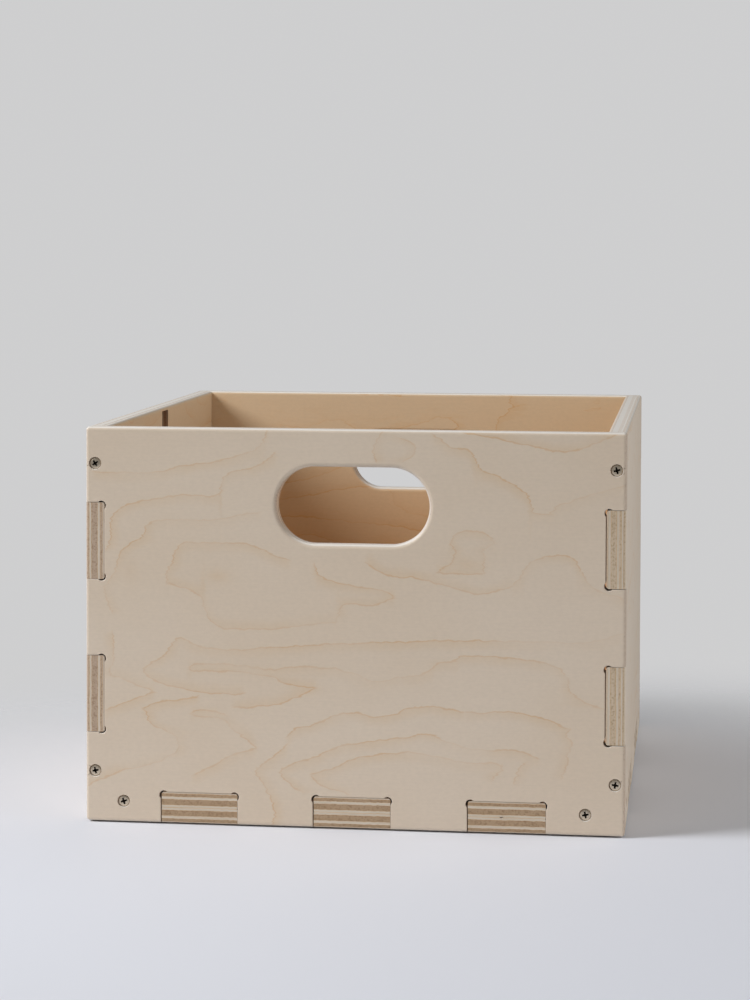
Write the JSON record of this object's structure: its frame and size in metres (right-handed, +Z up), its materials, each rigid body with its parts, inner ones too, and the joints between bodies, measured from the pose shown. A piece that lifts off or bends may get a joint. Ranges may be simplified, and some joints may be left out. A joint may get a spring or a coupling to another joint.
{
  "type": "toy organizer",
  "caption": "Open plywood toy crate with finger-jointed panels, countersunk screws, a hand hole front and back, and an upright divider groove in each side wall.",
  "frame": {"origin": "on the floor under the middle of the crate", "axes": "+Z up, -Y towards the front panel, +X towards the right side panel"},
  "size_m": [0.34, 0.375, 0.25],
  "materials": {
    "wall_plywood": "clear matt oil",
    "base_plywood": "clear matt oil",
    "screw_steel": "satin zinc"
  },
  "bodies": {
    "root": {"front_panel": "wall_plywood", "back_panel": "wall_plywood", "left_side_panel": "wall_plywood", "right_side_panel": "wall_plywood", "base_panel": "base_plywood", "screw_front_upper_left": "screw_steel", "screw_front_lower_left": "screw_steel", "screw_front_base_left": "screw_steel", "screw_front_upper_right": "screw_steel", "screw_front_lower_right": "screw_steel", "screw_front_base_right": "screw_steel", "screw_back_upper_left": "screw_steel", "screw_back_lower_left": "screw_steel", "screw_back_base_left": "screw_steel", "screw_back_upper_right": "screw_steel", "screw_back_lower_right": "screw_steel", "screw_back_base_right": "screw_steel", "screw_left_base_front": "screw_steel", "screw_left_base_back": "screw_steel", "screw_right_base_front": "screw_steel", "screw_right_base_back": "screw_steel"}
  },
  "joints": []
}
